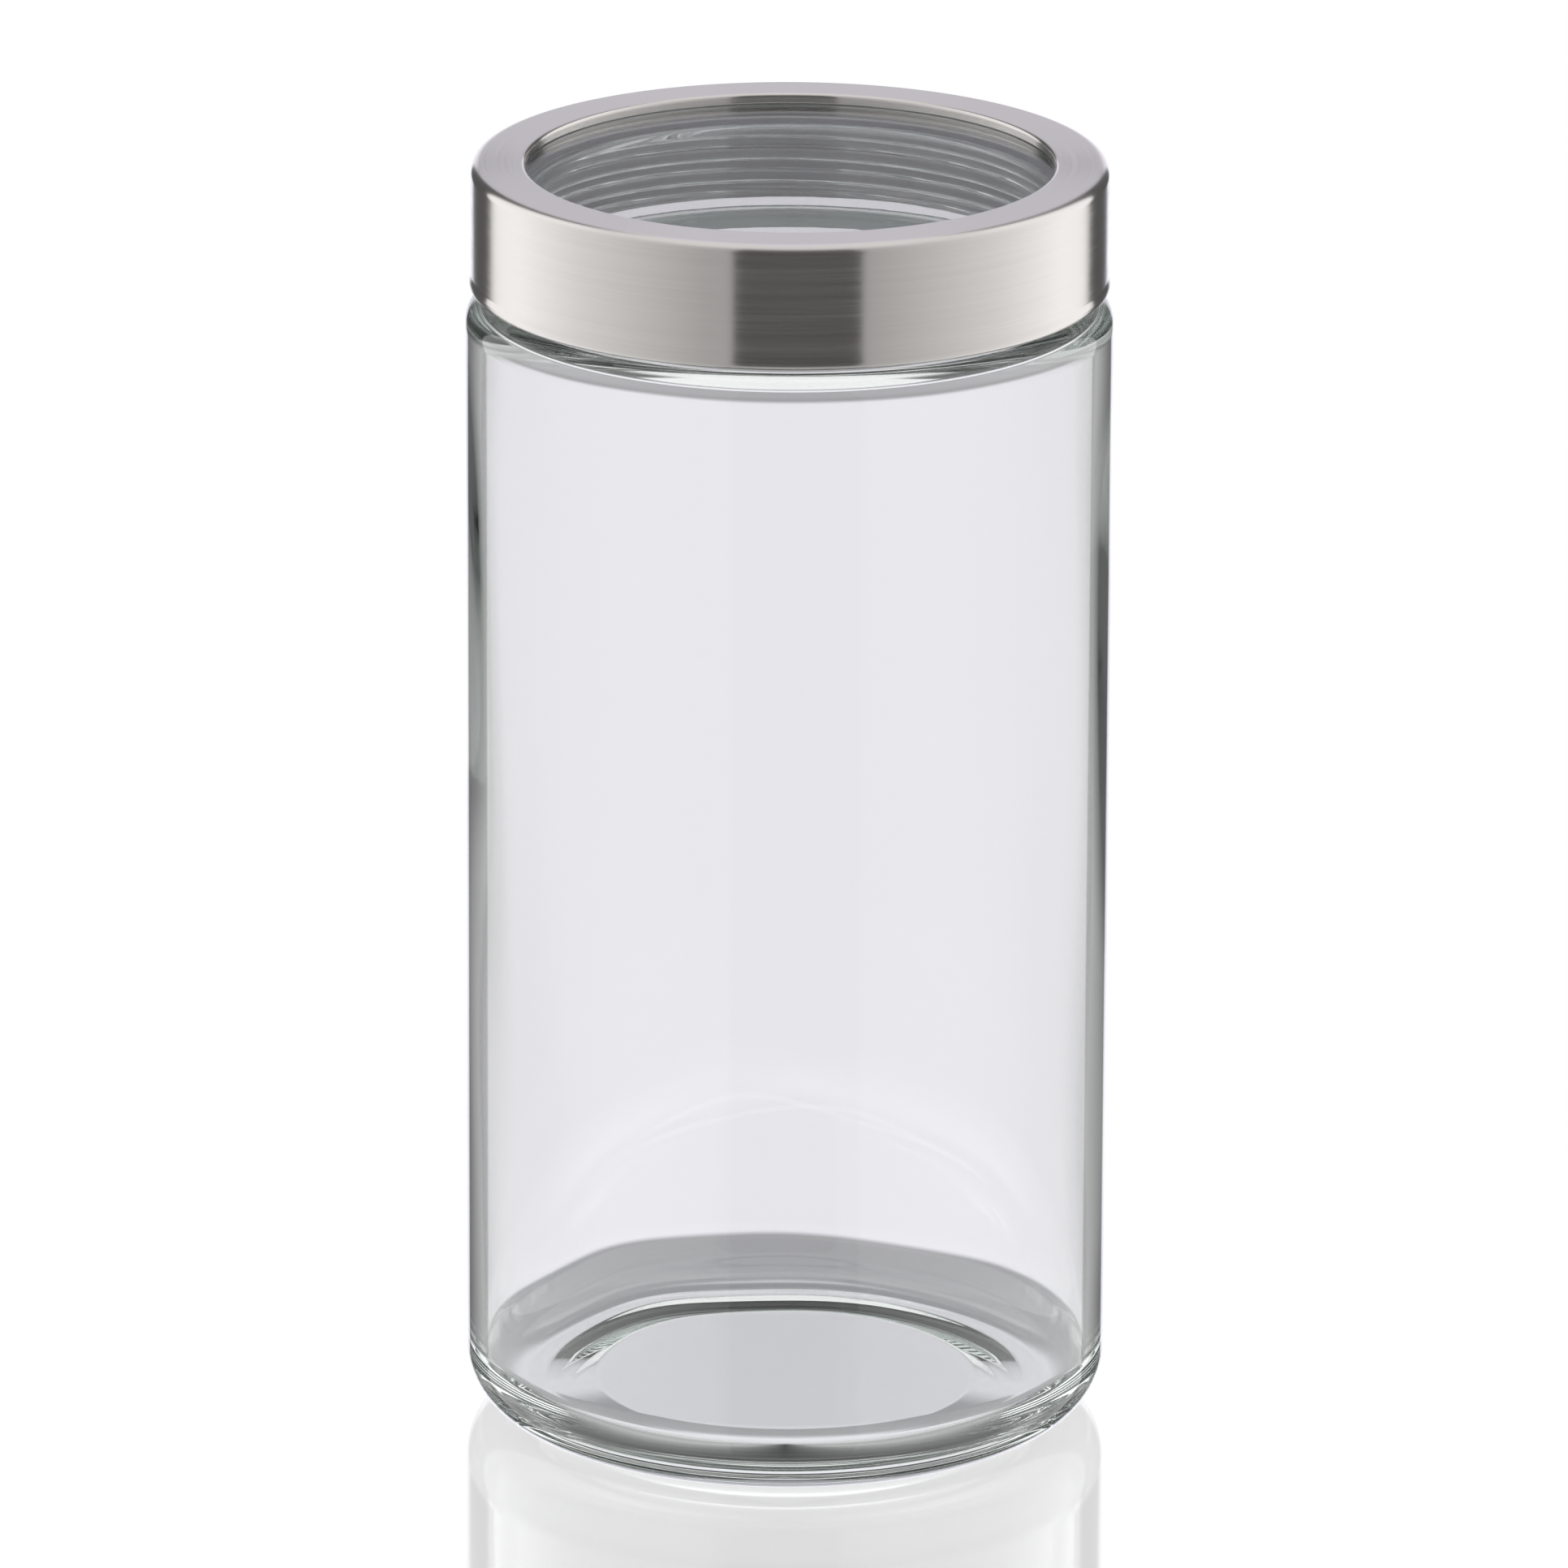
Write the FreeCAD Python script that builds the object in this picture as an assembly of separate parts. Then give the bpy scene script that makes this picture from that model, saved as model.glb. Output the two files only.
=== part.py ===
import FreeCAD, Part
import math
import os

# Storage jar of clear glass with a screw lid: a pressed steel band, a clear window,
# a clear plastic ring that carries the thread, and a silicone seal.
# Millimetres, +Z up, origin on the standing plane at the jar's axis. The lid is closed.

# Jar: sizes that are set by themselves
jarRadius = 55.0          # outside of the straight wall
totalHeight = 221.0       # standing plane to the top of the closed lid
jarWall = 3.2             # straight wall
shoulderWall = 2.8        # thickness down from the flat of the shoulder
neckWall = 3.2            # neck, from the mouth to the root of the thread
baseThickness = 6.0       # standing plane to the inside floor
heelRadius = 10.5         # outside corner at the foot
floorRadius = 7.5         # inside corner at the floor
bearingWidth = 3.0        # flat ring that the jar stands on
puntRise = 1.4            # hollow under the base
puntSlope = 9.0           # width of the slope into that hollow
puntRadius = 6.0          # rounding at both ends of the slope
shoulderRadius = 5.0      # outside corner at the shoulder
underRadius = 0.4         # inside corner between wall and shoulder
mouthRounding = 2.5       # rounding where the mouth opens out under the shoulder
neckFillet = 1.4          # inside corner between shoulder and neck
rimRounding = 1.3         # both edges of the rim

# Screw thread, single start, right-hand
threadPitch = 4.0
threadHeight = 1.2
threadClearance = 0.4     # crest to root, each way
threadPlay = 0.2          # taken off each thread's half pitch
flankAngle = 30.0         # each flank from the radial direction
ringThreadTurns = 1.5
threadRimMargin = 2.4     # rim to the middle of the jar's thread at its upper end
threadShoulderMargin = 3.4  # shoulder to the middle of the jar's thread at its lower end
threadRingMargin = 1.9    # ring's lower end to the middle of its thread
threadSink = 0.5          # how deep a thread is rooted in the wall that carries it

# Steel band
bandInset = 1.0           # how far the band stands inside the jar's side
bandHeight = 21.5
sheet = 0.5               # sheet thickness
flangeWidth = 9.2         # flat top, from the band's side to its clear opening
bandBend = 1.2            # inside bend between side and top
lipBend = 0.2             # inside bend between top and turned-down lip
lipDrop = 1.7             # height of the turned-down lip
flare = 0.25              # how far the lower edge stands out
flareHeight = 1.4         # straight height of the flared edge
flareRun = 1.0            # height of the slope above it
hemWidth = 1.9            # turned-in lower edge
hemBend = 0.45            # inside bend at the turned-in edge

# Window, seal and plastic ring
windowThickness = 2.0
windowLap = 2.8           # how far the window reaches under the lip
windowEdge = 0.3          # rounding of the window's edges
sealThickness = 1.6
sealWidth = 4.6
sealEdge = 0.4
ledgeThickness = 1.5      # part of the ring between window and seal
ledgeSetback = 0.2        # ledge's bore outside the clear opening
ringWall = 3.95           # plastic skirt, from its outside to its bore
ringEdge = 0.4
sealUndercut = 0.7        # groove that keeps the seal in the ring

# Clearances
bandClearance = 0.15      # ring in the band
lipClearance = 0.1        # lip over the window
flangeClearance = 0.1     # ring under the band's top and above its hem
windowClearance = 0.1     # window in its seat
sealGap = 0.2             # rim to seal
sealTopClearance = 0.1    # seal to the ledge above it
sealSideClearance = 0.3   # seal to the side of its groove
shoulderGap = 1.5         # shoulder to the band's lower edge

# Heights, from the top of the lid down
bandTop = totalHeight
bandBottom = bandTop - bandHeight
lipEnd = bandTop - lipDrop
windowTop = lipEnd - lipClearance
windowBottom = windowTop - windowThickness
ledgeBottom = windowBottom - ledgeThickness
sealTop = ledgeBottom - sealTopClearance
sealBottom = sealTop - sealThickness
rimTop = sealBottom - sealGap
shoulderTop = bandBottom - shoulderGap
shoulderUnder = shoulderTop - shoulderWall
ringBottom = bandBottom + sheet + flangeClearance
ringTop = bandTop - sheet - flangeClearance

# Radii, from the outside in
jarInnerRadius = jarRadius - jarWall
bandRadius = jarRadius - bandInset
openingRadius = bandRadius - flangeWidth
ringRadius = bandRadius - sheet - bandClearance
ringBore = ringRadius - ringWall
jarThreadCrest = ringBore - threadClearance
neckRadius = jarThreadCrest - threadHeight
mouthRadius = neckRadius - neckWall
windowRadius = openingRadius + windowLap
seatRadius = windowRadius + windowClearance
ledgeBore = openingRadius + ledgeSetback
grooveRadius = ringBore + sealUndercut
sealRadius = grooveRadius - sealSideClearance
sealBore = sealRadius - sealWidth
grooveFloor = rimTop
bearingInner = jarRadius - heelRadius - bearingWidth

# Thread sections and places
threadMidWidth = threadPitch / 2 - threadPlay
flankSlope = math.tan(math.radians(flankAngle))
jarThreadStart = shoulderTop + threadShoulderMargin
jarThreadTurns = (rimTop - threadRimMargin - jarThreadStart) / threadPitch
ringThreadStart = ringBottom + threadRingMargin
ringThreadLag = (ringThreadStart - jarThreadStart) / threadPitch - 1 / 2
fullTurn = 360

touching = 1e-6           # ends nearer than this are one point
up = FreeCAD.Vector(0, 0, 1)
origin = FreeCAD.Vector(0, 0, 0)


def roundedOutline(corners):
    """Closed wire in the XZ plane through corners (radius, height, rounding)."""
    points = [FreeCAD.Vector(r, 0, z) for r, z, rounding in corners]
    count = len(points)
    spans = []
    edges = []
    for i, (r, z, rounding) in enumerate(corners):
        here = points[i]
        back = (points[i - 1] - here).normalize()
        ahead = (points[(i + 1) % count] - here).normalize()
        half = back.getAngle(ahead) / 2
        start = here + back * (rounding / math.tan(half))
        end = here + ahead * (rounding / math.tan(half))
        spans.append((start, end))
        if rounding > 0:
            inward = (back + ahead).normalize()
            middle = here + inward * (rounding / math.sin(half) - rounding)
            edges.append(Part.Arc(start, middle, end).toShape())
    for i in range(count):
        leave = spans[i - 1][1]
        arrive = spans[i][0]
        if leave.distanceToPoint(arrive) > touching:
            edges.append(Part.LineSegment(leave, arrive).toShape())
    return Part.Wire(Part.__sortEdges__(edges))


def lathe(corners):
    """Solid of revolution about the jar's axis."""
    return Part.Face(roundedOutline(corners)).revolve(origin, up, fullTurn)


def thread(root, crest, startHeight, turns, startAngle):
    """Helical ridge from a wall at radius root to its crest, rooted a little in the wall."""
    outwards = math.copysign(1, crest - root)
    middle = (root + crest) / 2

    def halfWidth(radius):
        return threadMidWidth / 2 - outwards * flankSlope * (radius - middle)

    sunk = root - outwards * threadSink
    corners = [
        (sunk, startHeight - halfWidth(sunk), 0),
        (crest, startHeight - halfWidth(crest), 0),
        (crest, startHeight + halfWidth(crest), 0),
        (sunk, startHeight + halfWidth(sunk), 0),
    ]
    path = Part.makeHelix(threadPitch, turns * threadPitch, middle)
    path.translate(up * startHeight)
    ridge = path.makePipeShell([roundedOutline(corners)], True, True)
    ridge.rotate(origin, up, startAngle)
    return ridge


def glassJar():
    """Blown jar: thick base with a hollow under it, straight wall, shoulder, threaded neck."""
    wall = lathe([
        (0, puntRise, 0),
        (bearingInner - puntSlope, puntRise, puntRadius),
        (bearingInner, 0, puntRadius),
        (jarRadius, 0, heelRadius),
        (jarRadius, shoulderTop, shoulderRadius),
        (neckRadius, shoulderTop, neckFillet),
        (neckRadius, rimTop, rimRounding),
        (mouthRadius, rimTop, rimRounding),
        (mouthRadius, shoulderUnder, mouthRounding),
        (jarInnerRadius, shoulderUnder, underRadius),
        (jarInnerRadius, baseThickness, floorRadius),
        (0, baseThickness, 0),
    ])
    ridge = thread(neckRadius, jarThreadCrest, jarThreadStart, jarThreadTurns, 0)
    return wall.fuse(ridge).Solids[0]


def lidBand():
    """Steel band: turned-down lip, flat top, side, slightly flared edge turned in below."""
    flared = bandRadius + flare
    flareTop = bandBottom + flareHeight + flareRun
    return lathe([
        (openingRadius, lipEnd, 0),
        (openingRadius, bandTop, lipBend + sheet),
        (bandRadius, bandTop, bandBend + sheet),
        (bandRadius, flareTop, 0),
        (flared, bandBottom + flareHeight, 0),
        (flared, bandBottom, hemBend + sheet),
        (flared - hemWidth, bandBottom, 0),
        (flared - hemWidth, bandBottom + sheet, 0),
        (flared - sheet, bandBottom + sheet, hemBend),
        (flared - sheet, bandBottom + flareHeight, 0),
        (bandRadius - sheet, flareTop, 0),
        (bandRadius - sheet, bandTop - sheet, bandBend),
        (openingRadius + sheet, bandTop - sheet, lipBend),
        (openingRadius + sheet, lipEnd, 0),
    ])


def lidWindow():
    """Clear disc held between the band's lip and the ring's ledge."""
    return lathe([
        (0, windowBottom, 0),
        (windowRadius, windowBottom, windowEdge),
        (windowRadius, windowTop, windowEdge),
        (0, windowTop, 0),
    ])


def threadRing():
    """Clear plastic ring: window seat on top, seal groove inside, thread in its bore."""
    ring = lathe([
        (ringBore, ringBottom, ringEdge),
        (ringRadius, ringBottom, ringEdge),
        (ringRadius, ringTop, bandBend + ringEdge),
        (seatRadius, ringTop, ringEdge),
        (seatRadius, windowBottom, 0),
        (ledgeBore, windowBottom, 0),
        (ledgeBore, ledgeBottom, 0),
        (grooveRadius, ledgeBottom, 0),
        (grooveRadius, grooveFloor, 0),
        (ringBore, grooveFloor, 0),
    ])
    crest = neckRadius + threadClearance
    ridge = thread(ringBore, crest, ringThreadStart, ringThreadTurns, fullTurn * ringThreadLag)
    return ring.fuse(ridge).Solids[0]


def lidSeal():
    """Flat silicone ring over the jar's rim."""
    return lathe([
        (sealBore, sealBottom, sealEdge),
        (sealRadius, sealBottom, sealEdge),
        (sealRadius, sealTop, sealEdge),
        (sealBore, sealTop, sealEdge),
    ])


pieces = {
    "glass_jar": glassJar,
    "lid_band": lidBand,
    "lid_window": lidWindow,
    "thread_ring": threadRing,
    "lid_seal": lidSeal,
}

os.makedirs("parts", exist_ok=True)
for name, make in pieces.items():
    solid = make()
    solid.exportStep("parts/" + name + ".step")
    print(name, solid.ShapeType, round(solid.Volume), "mm3, valid", solid.isValid())
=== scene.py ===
import math

import bpy
import numpy as np
from mathutils import Euler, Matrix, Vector


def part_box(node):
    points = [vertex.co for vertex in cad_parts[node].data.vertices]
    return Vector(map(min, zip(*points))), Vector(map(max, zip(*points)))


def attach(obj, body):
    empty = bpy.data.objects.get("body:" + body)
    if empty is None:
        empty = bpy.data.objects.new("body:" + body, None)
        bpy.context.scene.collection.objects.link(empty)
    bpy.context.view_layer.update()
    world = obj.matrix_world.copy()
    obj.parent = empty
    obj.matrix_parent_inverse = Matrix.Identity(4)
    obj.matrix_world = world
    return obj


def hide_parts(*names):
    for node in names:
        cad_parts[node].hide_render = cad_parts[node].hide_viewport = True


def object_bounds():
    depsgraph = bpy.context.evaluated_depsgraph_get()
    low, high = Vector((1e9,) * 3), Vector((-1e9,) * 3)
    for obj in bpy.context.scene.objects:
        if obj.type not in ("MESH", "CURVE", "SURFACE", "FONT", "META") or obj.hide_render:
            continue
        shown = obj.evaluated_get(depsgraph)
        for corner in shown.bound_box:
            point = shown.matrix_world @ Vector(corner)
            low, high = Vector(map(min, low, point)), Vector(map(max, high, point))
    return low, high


# Storage jar of clear glass with a screw lid, in metres, standing on z = 0 about the Z axis.
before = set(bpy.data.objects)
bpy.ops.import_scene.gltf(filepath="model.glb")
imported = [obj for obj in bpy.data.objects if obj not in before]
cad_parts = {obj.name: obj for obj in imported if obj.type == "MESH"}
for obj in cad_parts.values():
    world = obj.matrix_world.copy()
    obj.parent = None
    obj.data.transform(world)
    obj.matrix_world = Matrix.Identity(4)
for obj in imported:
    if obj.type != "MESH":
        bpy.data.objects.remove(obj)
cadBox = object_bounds()
mm = 0.001
fullTurn = 2 * math.pi
print("frame loaded:", ", ".join(sorted(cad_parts)))


# Surfaces

def unit(vectors):
    return vectors / np.linalg.norm(vectors, axis=-1, keepdims=True)


def smooth(t):
    # 3t^2 - 2t^3 between 0 and 1, level beyond both ends
    t = np.clip(t, 0, 1)
    return t * t * (3 - 2 * t)


outlineDetail = {
    "arcStep": math.radians(8),   # most that one step of an arc turns
    "arcLeast": 3,                # steps in the smallest arc
    "hold": 0.12 * mm,            # a point this far from each end keeps a straight run straight
}


# Outline through corners (radius, height, rounding, gap). Each corner gives way to an arc of that
# rounding that meets both straight runs at a tangent. The run after a corner is divided evenly
# into steps of at most its gap. Corners go anticlockwise round the material.
def outline(corners, gap, closed=True):
    spot = np.array([corner[:2] for corner in corners])
    rounding = np.array([corner[2] for corner in corners])
    back = unit(np.roll(spot, 1, 0) - spot)
    ahead = unit(np.roll(spot, -1, 0) - spot)
    half = np.arccos(np.clip((back * ahead).sum(1), -1, 1)) / 2
    cut = (rounding / np.tan(half))[:, None]
    start, end = spot + back * cut, spot + ahead * cut
    centre = spot + unit(back + ahead) * (rounding / np.sin(half))[:, None]
    parts = []
    for i, corner in enumerate(corners):
        if rounding[i] > 0:
            sweep = math.pi - 2 * half[i]
            steps = max(outlineDetail["arcLeast"], math.ceil(sweep / outlineDetail["arcStep"]))
            t = np.linspace(0, 1, steps + 1)[:, None]
            arms = np.sin((1 - t) * sweep) * (start[i] - centre[i])
            arms = arms + np.sin(t * sweep) * (end[i] - centre[i])
            parts.append(centre[i] + arms / math.sin(sweep))
        else:
            parts.append(spot[i:i + 1])
        if not closed and i == len(corners) - 1:
            break
        run = start[(i + 1) % len(corners)] - end[i]
        length = np.linalg.norm(run)
        hold = min(outlineDetail["hold"], length / 4)
        steps = max(1, math.ceil(length / (corner[3] if len(corner) > 3 else gap)))
        t = np.concatenate([[0], np.linspace(hold, length - hold, steps + 1)]) / max(length, hold)
        parts.append(end[i] + t[1:, None] * run if length > hold else np.empty((0, 2)))
    return np.concatenate(parts)


# Surface of revolution: x = r cos a, y = r sin a, z = z(s), where (r, z) runs along the outline
# and a goes once round. relief(r, z, a) is added to r. An open outline starts and ends on the
# axis, where its rows close to a point. The attribute "along" is the distance along the outline.
def turned(name, points, segments, closed=True, relief=None):
    steps = np.linalg.norm(np.diff(points, axis=0), axis=1)
    along = np.concatenate([[0], np.cumsum(steps)])
    rows = points if closed else points[1:-1]
    radius, height = rows[:, :1], rows[:, 1:]
    angle = np.arange(segments)[None, :] * (fullTurn / segments)
    reach = radius + (relief(radius, height, angle) if relief else 0 * angle)
    grid = np.stack([reach * np.cos(angle), reach * np.sin(angle), height + 0 * reach], -1)
    count = len(rows)
    row = np.arange(count if closed else count - 1)[:, None] * segments
    nextRow = (row + segments) % (count * segments)
    column = np.arange(segments)[None, :]
    nextColumn = (column + 1) % segments
    quads = np.stack([row + column, row + nextColumn, nextRow + nextColumn, nextRow + column], -1)
    vertices = grid.reshape(-1, 3)
    values = np.repeat(along if closed else along[1:-1], segments)
    fans = np.empty((0, 3), int)
    if not closed:
        poles = np.array([[0, 0, points[0, 1]], [0, 0, points[-1, 1]]])
        first, last = len(vertices), (count - 1) * segments
        lower = np.stack([column[0] * 0 + first, nextColumn[0], column[0]], -1)
        upper = np.stack([column[0] * 0 + first + 1, last + column[0], last + nextColumn[0]], -1)
        fans = np.concatenate([lower, upper])
        vertices = np.concatenate([vertices, poles])
        values = np.concatenate([values, along[[0, -1]]])
    return surface(name, vertices, quads.reshape(-1, 4), fans, values)


# Mesh from its points, its four-sided faces, its triangles and each point's distance along.
def surface(name, vertices, quads, fans, along):
    mesh = bpy.data.meshes.new(name)
    mesh.vertices.add(len(vertices))
    mesh.vertices.foreach_set("co", vertices.ravel())
    loops = np.concatenate([quads.ravel(), fans.ravel()])
    mesh.loops.add(len(loops))
    mesh.loops.foreach_set("vertex_index", loops)
    sides = np.repeat([4, 3], [len(quads), len(fans)])
    mesh.polygons.add(len(sides))
    mesh.polygons.foreach_set("loop_start", np.cumsum(sides) - sides)
    mesh.update(calc_edges=True)
    mesh.shade_smooth()
    mesh.attributes.new("along", "FLOAT", "POINT").data.foreach_set("value", along)
    piece = bpy.data.objects.new(name, mesh)
    bpy.context.scene.collection.objects.link(piece)
    print(name, "has", len(vertices), "points")
    return piece


def finishPiece(piece, body, node, material):
    piece.data.materials.append(material)
    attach(piece, body)
    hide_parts(node)


# Shader nodes

class Wire:
    # An output socket. Arithmetic on wires and numbers adds Math nodes to its tree.
    def __init__(self, tree, socket=None):
        self.tree = tree
        self.socket = socket

    # Any node: its type, its settings, then the numbers or wires for its inputs.
    def node(self, kind, settings=(), inputs=(), output=0):
        node = self.tree.nodes.new("ShaderNode" + kind)
        for name, value in dict(settings).items():
            if name == "stops":
                elements = node.color_ramp.elements
                while len(elements) < len(value):
                    elements.new(0.5)
                for element, (position, colour) in zip(elements, value):
                    element.position = position
                    element.color = colour
            else:
                setattr(node, name, value)
        for name, value in dict(inputs).items():
            if isinstance(value, Wire):
                self.tree.links.new(value.socket, node.inputs[name])
            else:
                node.inputs[name].default_value = value
        return Wire(self.tree, node.outputs[output] if len(node.outputs) else None)

    def math(self, operation, *terms):
        return self.node("Math", {"operation": operation}, dict(enumerate(terms)))

    def __add__(self, other):
        return self.math("ADD", self, other)

    def __radd__(self, other):
        return self.math("ADD", other, self)

    def __sub__(self, other):
        return self.math("SUBTRACT", self, other)

    def __rsub__(self, other):
        return self.math("SUBTRACT", other, self)

    def __mul__(self, other):
        return self.math("MULTIPLY", self, other)

    def __rmul__(self, other):
        return self.math("MULTIPLY", other, self)

    # 0 below low, 1 above high, smooth between.
    def rises(self, low, high):
        ends = {"Value": self, "From Min": low, "From Max": high}
        return self.node("MapRange", {"interpolation_type": "SMOOTHSTEP"}, ends)

    # Blend of two colours, which are the sockets 6 and 7 of a Mix node, by this factor.
    def mixColour(self, first, second):
        sockets = {"Factor": self, 6: first, 7: second}
        return self.node("Mix", {"data_type": "RGBA"}, sockets, output=2)


def newMaterial(name):
    material = bpy.data.materials.new(name)
    material.use_nodes = True
    material.node_tree.nodes.clear()
    return material, Wire(material.node_tree)


def grey(level):
    return (level, level, level, 1)


# Materials

glassFinish = {
    "colour": (0.975, 0.985, 0.98, 1),
    "baseColour": (0.955, 0.98, 0.968, 1),   # thick base
    "index": 1.52,
    "tint": (0.83, 0.865, 0.85, 1),
    "tintDensity": 6.5,
    "baseFade": (0, 20 * mm),                # heights between the two colours
    "waveScale": 38.0,
    "waveStretch": (1, 1, 0.35),             # longer upwards
    "waveDetail": 1.5,
    "waveHeight": 0.06 * mm,
    "waveStrength": 0.25,
}


def clearGlass():
    f = glassFinish
    material, w = newMaterial("clearGlass")
    place = w.node("TexCoord", output="Object")
    stretched = w.node("Mapping", {}, {"Vector": place, "Scale": f["waveStretch"]})
    wave = w.node("TexNoise", {}, {
        "Vector": stretched, "Scale": f["waveScale"], "Detail": f["waveDetail"]})
    bump = w.node("Bump", {}, {"Strength": f["waveStrength"], "Distance": f["waveHeight"], "Height": wave})
    height = w.node("SeparateXYZ", {}, {"Vector": place}, output="Z")
    colour = height.rises(*f["baseFade"]).mixColour(f["baseColour"], f["colour"])
    shader = w.node("BsdfPrincipled", {}, {
        "Base Color": colour, "Roughness": 0.0, "IOR": f["index"],
        "Transmission Weight": 1.0, "Normal": bump})
    volume = w.node("VolumeAbsorption", {}, {"Color": f["tint"], "Density": f["tintDensity"]})
    w.node("OutputMaterial", {}, {"Surface": shader, "Volume": volume})
    return material


steelFinish = {
    "dark": (0.675, 0.65, 0.63, 1),
    "light": (0.698, 0.673, 0.653, 1),
    "lineScale": 3600.0,      # brush lines to the metre, across the brushing
    "lineLength": 34.0,       # and along it
    "fineDetail": 3.0,
    "fineRoughness": 0.65,
    "coarseScale": 0.3,
    "coarseDetail": 2.0,
    "coarseShare": 0.5,
    "shadeRange": (0.34, 0.66),
    "roughness": 0.21,
    "roughnessSpread": 0.20,
    "lineHeight": 0.004 * mm,
    "lineStrength": 0.45,
}


def brushedSteel():
    f = steelFinish
    material, w = newMaterial("brushedSteel")
    place = w.node("TexCoord", output="Object")
    along = w.node("Attribute", {"attribute_name": "along"}, output="Fac")
    x = w.node("SeparateXYZ", {}, {"Vector": place}, output="X")
    y = w.node("SeparateXYZ", {}, {"Vector": place}, output="Y")
    lines = w.node("CombineXYZ", {}, {
        "X": x * f["lineLength"], "Y": y * f["lineLength"], "Z": along * f["lineScale"]})
    fine = w.node("TexNoise", {}, {
        "Vector": lines, "Scale": 1.0, "Detail": f["fineDetail"], "Roughness": f["fineRoughness"]})
    coarse = w.node("TexNoise", {}, {
        "Vector": lines, "Scale": f["coarseScale"], "Detail": f["coarseDetail"]})
    streak = fine * (1 - f["coarseShare"]) + coarse * f["coarseShare"]
    shade = streak.rises(*f["shadeRange"])
    bump = w.node("Bump", {}, {
        "Strength": f["lineStrength"], "Distance": f["lineHeight"], "Height": streak})
    shader = w.node("BsdfPrincipled", {}, {
        "Base Color": shade.mixColour(f["dark"], f["light"]), "Metallic": 1.0,
        "Roughness": f["roughness"] + (streak - 0.5) * f["roughnessSpread"],
        "Anisotropic": 1.0, "Anisotropic Rotation": 0.25, "Normal": bump})
    w.node("OutputMaterial", {}, {"Surface": shader})
    return material


windowFinish = {
    "colour": (0.97, 0.975, 0.98, 1),
    "index": 1.50,
    "tint": (0.85, 0.88, 0.88, 1),
    "tintDensity": 8.0,
    "hazeScale": 90.0,
    "hazeDetail": 3.0,
    "hazeRange": (0.55, 0.8),
    "haze": 0.02,             # roughness where it is haziest
    "hazeHeight": 0.02 * mm,
    "hazeStrength": 0.1,
}


def clearWindow():
    f = windowFinish
    material, w = newMaterial("windowClear")
    place = w.node("TexCoord", output="Object")
    cloud = w.node("TexNoise", {}, {
        "Vector": place, "Scale": f["hazeScale"], "Detail": f["hazeDetail"]})
    bump = w.node("Bump", {}, {
        "Strength": f["hazeStrength"], "Distance": f["hazeHeight"], "Height": cloud})
    shader = w.node("BsdfPrincipled", {}, {
        "Base Color": f["colour"], "Roughness": cloud.rises(*f["hazeRange"]) * f["haze"],
        "IOR": f["index"], "Transmission Weight": 1.0, "Normal": bump})
    volume = w.node("VolumeAbsorption", {}, {"Color": f["tint"], "Density": f["tintDensity"]})
    w.node("OutputMaterial", {}, {"Surface": shader, "Volume": volume})
    return material


ringFinish = {
    "colour": (0.93, 0.94, 0.945, 1),
    "index": 1.49,
    "roughness": 0.02,
    "roughnessShares": (0.7, 0.6),    # even part, and part that follows the flow
    "tint": (0.80, 0.83, 0.84, 1),
    "tintDensity": 16.0,
    "flowScale": 60.0,
    "flowDetail": 2.0,
    "flowHeight": 0.05 * mm,
    "flowStrength": 0.3,
}


def clearPlastic():
    f = ringFinish
    material, w = newMaterial("ringPlastic")
    place = w.node("TexCoord", output="Object")
    flow = w.node("TexNoise", {}, {
        "Vector": place, "Scale": f["flowScale"], "Detail": f["flowDetail"]})
    bump = w.node("Bump", {}, {
        "Strength": f["flowStrength"], "Distance": f["flowHeight"], "Height": flow})
    even, flowing = f["roughnessShares"]
    shader = w.node("BsdfPrincipled", {}, {
        "Base Color": f["colour"], "Roughness": f["roughness"] * (even + flowing * flow),
        "IOR": f["index"], "Transmission Weight": 1.0, "Normal": bump})
    volume = w.node("VolumeAbsorption", {}, {"Color": f["tint"], "Density": f["tintDensity"]})
    w.node("OutputMaterial", {}, {"Surface": shader, "Volume": volume})
    return material


sealFinish = {
    "pale": (0.74, 0.75, 0.74, 1),
    "deep": (0.60, 0.62, 0.61, 1),
    "roughness": 0.45,
    "roughnessSpread": 0.15,
    "index": 1.41,
    "clearness": 0.55,
    "grainScale": 900.0,
    "grainDetail": 3.0,
    "grainHeight": 0.02 * mm,
    "grainStrength": 0.4,
}


def siliconeSeal():
    f = sealFinish
    material, w = newMaterial("sealSilicone")
    place = w.node("TexCoord", output="Object")
    grain = w.node("TexNoise", {}, {
        "Vector": place, "Scale": f["grainScale"], "Detail": f["grainDetail"]})
    bump = w.node("Bump", {}, {
        "Strength": f["grainStrength"], "Distance": f["grainHeight"], "Height": grain})
    shader = w.node("BsdfPrincipled", {}, {
        "Base Color": grain.mixColour(f["deep"], f["pale"]),
        "Roughness": f["roughness"] + f["roughnessSpread"] * grain, "IOR": f["index"],
        "Transmission Weight": f["clearness"], "Normal": bump})
    w.node("OutputMaterial", {}, {"Surface": shader})
    return material


# Screw thread

sameRadius = 0.01 * mm        # a point this near a wall's radius lies on that wall

thread = {
    "pitch": 4.0 * mm,
    "height": 1.2 * mm,
    "midWidth": 1.8 * mm,
    "flankSlope": math.tan(math.radians(30)),
    "fade": 0.12,             # turns over which each end dies away
}


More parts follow.
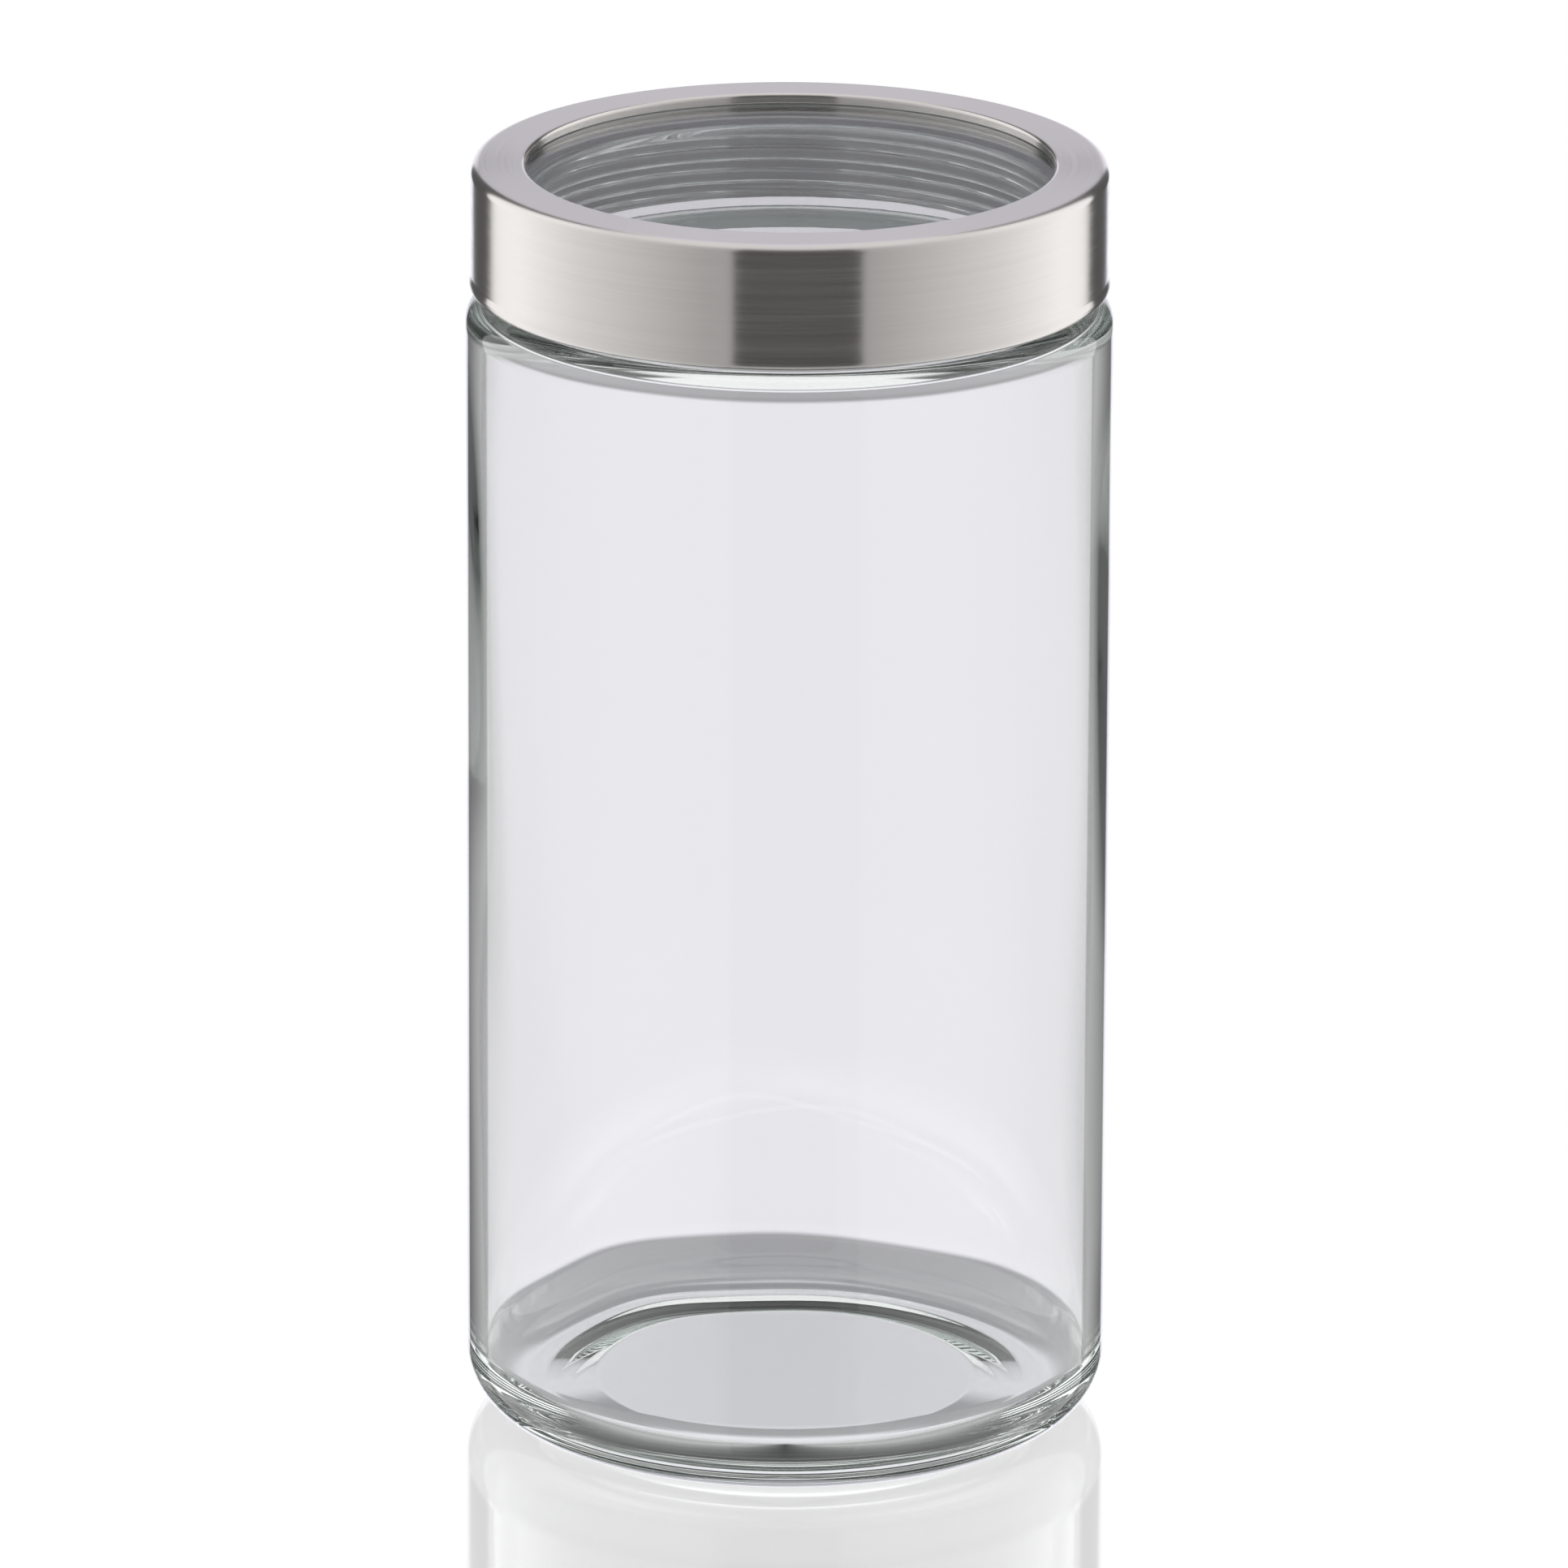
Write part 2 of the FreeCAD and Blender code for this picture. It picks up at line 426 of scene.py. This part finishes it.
# Height of a screw ridge over its wall. The nearest turn of the helix z = start + pitch * turns
# gives the distance across the ridge, whose section is a trapezoid with eased corners.
def screwRidge(height, angle, start, startTurn, turns):
    partTurn = (angle / fullTurn - startTurn) % 1
    whole = np.round((height - start) / thread["pitch"] - partTurn)
    progress = whole + partTurn
    across = np.abs(height - start - progress * thread["pitch"])
    slant = thread["flankSlope"] * thread["height"]
    section = smooth((thread["midWidth"] / 2 + slant / 2 - across) / slant)
    ends = smooth(progress / thread["fade"]) * smooth((turns - progress) / thread["fade"])
    return thread["height"] * section * ends


# Glass jar

jarLow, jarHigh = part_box("glass_jar")
ringLow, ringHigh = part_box("thread_ring")
bandLow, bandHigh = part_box("lid_band")

jar = {
    "wall": 3.2 * mm,
    "base": 6.0 * mm,
    "heel": 10.5 * mm,
    "floorRounding": 7.5 * mm,
    "bearing": 3.0 * mm,          # flat ring it stands on
    "puntRise": 1.4 * mm,
    "puntSlope": 9.0 * mm,
    "puntRounding": 6.0 * mm,
    "shoulderGap": 1.5 * mm,      # shoulder to the band's lower edge
    "shoulderRounding": 5.0 * mm,
    "shoulderWall": 2.8 * mm,
    "underRounding": 0.4 * mm,
    "mouthRounding": 2.5 * mm,
    "neckFillet": 1.4 * mm,
    "rimRounding": 1.3 * mm,
    "neck": 47.8 * mm,
    "mouth": 44.6 * mm,
    "threadStart": 3.4 * mm,      # above the shoulder
    "threadTurns": 2.5,
    "waveDepth": 0.18 * mm,       # unevenness of the inside wall
    "waves": [(3, 22, 0, 1), (5, -31, 1.3, 0.7), (8, 47, 4, 0.5)],   # crests round, climb, shift, share
    "waveFloor": (20 * mm, 30 * mm),      # still up to this height, then growing over this much
    "waveShoulder": (5 * mm, 20 * mm),    # the same down from the shoulder
    "gap": 7 * mm,
    "threadGap": 0.2 * mm,
    "segments": 320,
}


def glassJar():
    j = jar
    radius, rim = jarHigh.x, jarHigh.z
    shoulder = bandLow.z - j["shoulderGap"]
    under = shoulder - j["shoulderWall"]
    bearingInner = radius - j["heel"] - j["bearing"]
    inner = radius - j["wall"]
    points = outline([
        (0, j["puntRise"], 0),
        (bearingInner - j["puntSlope"], j["puntRise"], j["puntRounding"]),
        (bearingInner, 0, j["puntRounding"]),
        (radius, 0, j["heel"]),
        (radius, shoulder, j["shoulderRounding"]),
        (j["neck"], shoulder, j["neckFillet"], j["threadGap"]),
        (j["neck"], rim, j["rimRounding"]),
        (j["mouth"], rim, j["rimRounding"]),
        (j["mouth"], under, j["mouthRounding"]),
        (inner, under, j["underRounding"]),
        (inner, j["base"], j["floorRounding"]),
        (0, j["base"], 0),
    ], j["gap"], closed=False)

    # On the neck the screw ridge. On the inside wall a slow unevenness, the sum of three sine
    # waves share * sin(crests * a + climb * z + shift), fading out at floor and shoulder.
    def relief(r, z, a):
        ridge = screwRidge(z, a, shoulder + j["threadStart"], 0, j["threadTurns"])
        onNeck = (np.abs(r - j["neck"]) < sameRadius) & (z > shoulder)
        onWall = np.abs(r - inner) < sameRadius
        waves = sum(share * np.sin(crests * a + climb * z + shift)
                    for crests, climb, shift, share in j["waves"])
        (still, growth), (stillTop, growthTop) = j["waveFloor"], j["waveShoulder"]
        ease = smooth((z - still) / growth) * smooth((under - z - stillTop) / growthTop)
        return ridge * onNeck + j["waveDepth"] * waves * onWall * ease

    return turned("jarGlass", points, j["segments"], closed=False, relief=relief)


finishPiece(glassJar(), "jar", "glass_jar", clearGlass())


# Steel band

band = {
    "sheet": 0.5 * mm,
    "opening": 44.8 * mm,
    "bend": 1.2 * mm,             # inside bend at the top
    "lipBend": 0.2 * mm,
    "lipDrop": 1.7 * mm,
    "flare": 0.25 * mm,
    "flareHeight": 1.4 * mm,
    "flareRun": 1.0 * mm,
    "flareBend": 0.5 * mm,
    "hem": 1.9 * mm,              # turned-in lower edge
    "hemBend": 0.45 * mm,
    "edge": 0.12 * mm,            # broken edges of the sheet
    "gap": 1.5 * mm,
    "segments": 360,
}


def steelBand():
    b = band
    flared, low, top = bandHigh.x, bandLow.z, bandHigh.z
    side = flared - b["flare"]
    sheet, edge = b["sheet"], b["edge"]
    flareLow = low + b["flareHeight"]
    flareTop = flareLow + b["flareRun"]
    lipEnd = top - b["lipDrop"]
    points = outline([
        (b["opening"] + sheet, lipEnd, edge),
        (b["opening"] + sheet, top - sheet, b["lipBend"]),
        (side - sheet, top - sheet, b["bend"]),
        (side - sheet, flareTop, b["flareBend"]),
        (flared - sheet, flareLow, b["flareBend"]),
        (flared - sheet, low + sheet, b["hemBend"]),
        (flared - b["hem"], low + sheet, edge),
        (flared - b["hem"], low, edge),
        (flared, low, b["hemBend"] + sheet),
        (flared, flareLow, b["flareBend"]),
        (side, flareTop, b["flareBend"]),
        (side, top, b["bend"] + sheet),
        (b["opening"], top, b["lipBend"] + sheet),
        (b["opening"], lipEnd, edge),
    ], b["gap"])
    return turned("bandSteel", points, b["segments"])


finishPiece(steelBand(), "lid", "lid_band", brushedSteel())


# Window

window = {
    "edge": 0.3 * mm,
    "lift": 0.03 * mm,            # clear of the ledge it lies on
    "gap": 6 * mm,
    "segments": 256,
}


def windowDisc():
    low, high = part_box("lid_window")
    bottom = low.z + window["lift"]
    points = outline([
        (0, bottom, 0),
        (high.x, bottom, window["edge"]),
        (high.x, high.z, window["edge"]),
        (0, high.z, 0),
    ], window["gap"], closed=False)
    return turned("windowDisc", points, window["segments"], closed=False)


finishPiece(windowDisc(), "lid", "lid_window", clearWindow())


# Threaded plastic ring

ring = {
    "bore": 49.4 * mm,
    "edge": 0.4 * mm,
    "sharp": 0.15 * mm,           # moulded inside corners
    "topRounding": 1.6 * mm,
    "seat": 47.7 * mm,
    "ledgeBore": 45.0 * mm,
    "ledge": 1.5 * mm,
    "groove": 50.1 * mm,
    "threadStart": 1.9 * mm,      # above its lower end
    "threadLag": -0.35,           # turns from the jar's
    "threadTurns": 1.5,
    "gap": 2 * mm,
    "threadGap": 0.2 * mm,
    "segments": 320,
}


def threadedRing():
    g = ring
    radius, low, top = ringHigh.x, ringLow.z, ringHigh.z
    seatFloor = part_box("lid_window")[0].z
    ledgeLow = seatFloor - g["ledge"]
    grooveFloor = jarHigh.z
    sharp = g["sharp"]
    points = outline([
        (g["bore"], low, g["edge"]),
        (radius, low, g["edge"]),
        (radius, top, g["topRounding"]),
        (g["seat"], top, g["edge"]),
        (g["seat"], seatFloor, sharp),
        (g["ledgeBore"], seatFloor, sharp),
        (g["ledgeBore"], ledgeLow, sharp),
        (g["groove"], ledgeLow, sharp),
        (g["groove"], grooveFloor, sharp),
        (g["bore"], grooveFloor, sharp, g["threadGap"]),
    ], g["gap"])

    # The same ridge, inwards from the bore.
    def relief(r, z, a):
        ridge = screwRidge(z, a, low + g["threadStart"], g["threadLag"], g["threadTurns"])
        return -ridge * (np.abs(r - g["bore"]) < sameRadius)

    return turned("ringThreaded", points, g["segments"], relief=relief)


finishPiece(threadedRing(), "lid", "thread_ring", clearPlastic())


# Seal

seal = {
    "bore": 45.2 * mm,
    "edge": 0.4 * mm,
    "gap": 1 * mm,
    "segments": 256,
}


def sealRing():
    low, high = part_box("lid_seal")
    points = outline([
        (seal["bore"], low.z, seal["edge"]),
        (high.x, low.z, seal["edge"]),
        (high.x, high.z, seal["edge"]),
        (seal["bore"], high.z, seal["edge"]),
    ], seal["gap"])
    return turned("sealRing", points, seal["segments"])


finishPiece(sealRing(), "seal", "lid_seal", siliconeSeal())


# Floor

floor = {
    "reach": 6.0,
    "white": 1.0,                 # light of its own far out
    # Painted shade: near the jar the floor gives off less light of its own, a painted pool of shade round
    # the jar's foot.
    "shadedGlow": 0.67,                 # and near the jar, where the mirror adds to it
    "mirror": 0.50,
    "roughness": 0.06,
    # The painted shade round the jar fades out over these distances too, together with the mirror.
    "shadeAndShine": (0.11, 0.26),        # the mirror fades away between these distances
}


def paleFloor():
    corners = np.array([[-1, -1, 0], [1, -1, 0], [1, 1, 0], [-1, 1, 0]]) * floor["reach"]
    piece = surface("floorPale", corners, np.array([[0, 1, 2, 3]]), np.empty((0, 3), int), np.zeros(4))
    material, w = newMaterial("floorPale")
    # Near the jar the floor's own light is dimmed as painted shade, with a real mirror added on top; far
    # out it is plain white.
    shadedGlow = w.node("Emission", {}, {"Color": grey(1), "Strength": floor["shadedGlow"]})
    mirror = w.node("BsdfGlossy", {}, {"Color": grey(floor["mirror"]), "Roughness": floor["roughness"]})
    both = w.node("AddShader", {}, {0: shadedGlow, 1: mirror})
    white = w.node("Emission", {}, {"Color": grey(1), "Strength": floor["white"]})
    place = w.node("TexCoord", output="Object")
    away = w.node("VectorMath", {"operation": "LENGTH"}, {0: place}, output="Value")
    plain = w.node("MixShader", {}, {"Fac": away.rises(*floor["shadeAndShine"]), 1: both, 2: white})
    w.node("OutputMaterial", {}, {"Surface": plain})
    piece.data.materials.append(material)
    piece.visible_glossy = False
    piece.visible_transmission = False
    piece.visible_diffuse = False
    piece.visible_shadow = False


paleFloor()


# Light

# Soft boxes round the jar. Places are in degrees from the front (negative to the left, where it
# matters) or above the level, and a pair of places is where a change starts and ends.
studio = {
    "boxes": [(30, 0.50), (81, 0.90), (114, 1.28)],       # brightness by degrees from the front
    "gap": (-20.2, 26.2),         # dark opening between the two front boxes
    "gapEdge": 0.8,
    "gapLight": 0.085,
    "gapFootLight": 0.6,          # brighter near the table
    "gapFoot": (-48, -30),
    "card": (135.5, 137.5),       # dark cards behind the boxes
    "cardLight": 0.11,
    "screen": (161, 165),         # bright screen behind, with brightness by level
    "screenLight": [
        (-10, 1.30), (8, 1.0), (14.2, 0.72), (14.6, 0.36), (15.6, 0.36), (16.0, 0.66),
        (30, 0.78), (45, 0.90),
    ],
    "top": (48, 56),
    "topLight": 0.95,
    "frontColour": (1.0, 1.0, 1.0, 1),
    "screenColour": (1.0, 0.985, 1.08, 1),
}

# What shows straight through the clear pieces, with a darker area low behind.
through = {
    "colour": (0.98, 0.95, 1.01),
    "dark": 0.42,
    "darkFrom": (-45, -38),
    "darkTo": (-27, -22),
    "darkRound": (130, 145),
}

# What shows after a bounce inside them.
inside = {
    "light": [(0, 0.14), (110, 0.14), (147, 0.55), (165, 0.24), (180, 0.07)],
    "steepLight": 0.7,            # steeply downwards at the sides
    "steep": (-32, -25),
    "steepRound": (120, 140),
    "upLight": 1.2,               # the boxes' own light times this, upwards
    "up": (-4, 8),
    "strip": 0.93,                # share lost in a dark strip behind, which the table mirrors
    "stripFrom": (-4, -1),
    "stripTo": (29, 33),
    "stripRound": (138, 148),
}


# Piecewise straight curve through (place, value) stops.
def ramp(wire, low, high, stops, scale):
    places = [((place - low) / (high - low), grey(value / scale)) for place, value in stops]
    share = (wire - low) * (1 / (high - low))
    return wire.node("ValToRGB", {"stops": places}, {"Fac": share}) * scale


def studioLight():
    s = studio
    world = bpy.data.worlds.new("studio")
    bpy.context.scene.world = world
    world.use_nodes = True
    world.node_tree.nodes.clear()
    w = Wire(world.node_tree)
    direction = w.node("TexCoord", output="Generated")
    x = w.node("SeparateXYZ", {}, {"Vector": direction}, output="X")
    y = w.node("SeparateXYZ", {}, {"Vector": direction}, output="Y")
    z = w.node("SeparateXYZ", {}, {"Vector": direction}, output="Z")
    azimuth = w.math("ARCTAN2", x, 0 - y) * math.degrees(1)
    level = w.math("ARCSINE", z) * math.degrees(1)
    off = w.math("ABSOLUTE", azimuth)

    boxes = ramp(off, 0, 180, s["boxes"], 2)
    gap = azimuth.rises(s["gap"][0] - s["gapEdge"], s["gap"][0] + s["gapEdge"]) * (
        1 - azimuth.rises(s["gap"][1] - s["gapEdge"], s["gap"][1] + s["gapEdge"]))
    gapLight = s["gapFootLight"] + (s["gapLight"] - s["gapFootLight"]) * level.rises(*s["gapFoot"])
    ring = boxes + (gapLight - boxes) * gap
    ring = ring + (s["cardLight"] - ring) * off.rises(*s["card"])
    behind = off.rises(*s["screen"])
    ring = ring + (ramp(level, -90, 90, s["screenLight"], 2) - ring) * behind
    outer = ring + (s["topLight"] - ring) * level.rises(*s["top"])
    outerColour = w.node("VectorMath", {"operation": "SCALE"}, {
        0: behind.mixColour(s["frontColour"], s["screenColour"]), "Scale": outer})

    n = inside
    low = ramp(off, 0, 180, n["light"], 1)
    steep = (1 - level.rises(*n["steep"])) * (1 - off.rises(*n["steepRound"]))
    low = low + (n["steepLight"] - low) * steep
    inner = low + (outer * n["upLight"] - low) * level.rises(*n["up"])
    strip = level.rises(*n["stripFrom"]) * (1 - level.rises(*n["stripTo"])) * off.rises(*n["stripRound"])
    inner = inner * (1 - n["strip"] * strip)

    p = through
    dark = level.rises(*p["darkFrom"]) * (1 - level.rises(*p["darkTo"])) * off.rises(*p["darkRound"])
    straight = w.node("VectorMath", {"operation": "SCALE"}, {
        0: p["colour"], "Scale": 1 - (1 - p["dark"]) * dark})

    cameraRay = w.node("LightPath", output="Is Camera Ray")
    entered = w.math("GREATER_THAN", w.node("LightPath", output="Transmission Depth"), 0.5)
    bounced = w.math("GREATER_THAN", w.node("LightPath", output="Glossy Depth"), 0.5)
    seen = entered.mixColour(outerColour, bounced.mixColour(straight, inner))
    colour = cameraRay.mixColour(seen, grey(1))
    shade = w.node("Background", {}, {"Color": colour, "Strength": 1.0})
    w.node("OutputWorld", {}, {"Surface": shade})


studioLight()
print("floor and light are in place")


# Camera

camera = {
    "distance": 2.6,
    "down": math.radians(17.41),
    "roll": math.radians(0.25),
    "lens": 349.3,
    "sensor": 36,
    "clipEnd": 50,
    "aim": Vector((-0.6, 0, 0.4)) * mm,   # from the middle of the jar
}


def setCamera():
    c = camera
    low, high = (Vector(corner) for corner in cadBox)
    target = (low + high) / 2 + c["aim"]
    data = bpy.data.cameras.new("camera")
    data.lens = c["lens"]
    data.sensor_width = c["sensor"]
    data.clip_end = c["clipEnd"]
    piece = bpy.data.objects.new("camera", data)
    away = Vector((0, -math.cos(c["down"]), math.sin(c["down"])))
    piece.location = target + away * c["distance"]
    turn = Euler((math.pi / 2 - c["down"], 0, 0)).to_matrix() @ Euler((0, 0, c["roll"])).to_matrix()
    piece.rotation_euler = turn.to_euler()
    bpy.context.scene.collection.objects.link(piece)
    bpy.context.scene.camera = piece


setCamera()

bounces = 128                 # light stays long in a glass wall
scene = bpy.context.scene
scene.view_settings.view_transform = "Standard"
scene.cycles.max_bounces = bounces
scene.cycles.transmission_bounces = bounces
scene.cycles.glossy_bounces = bounces
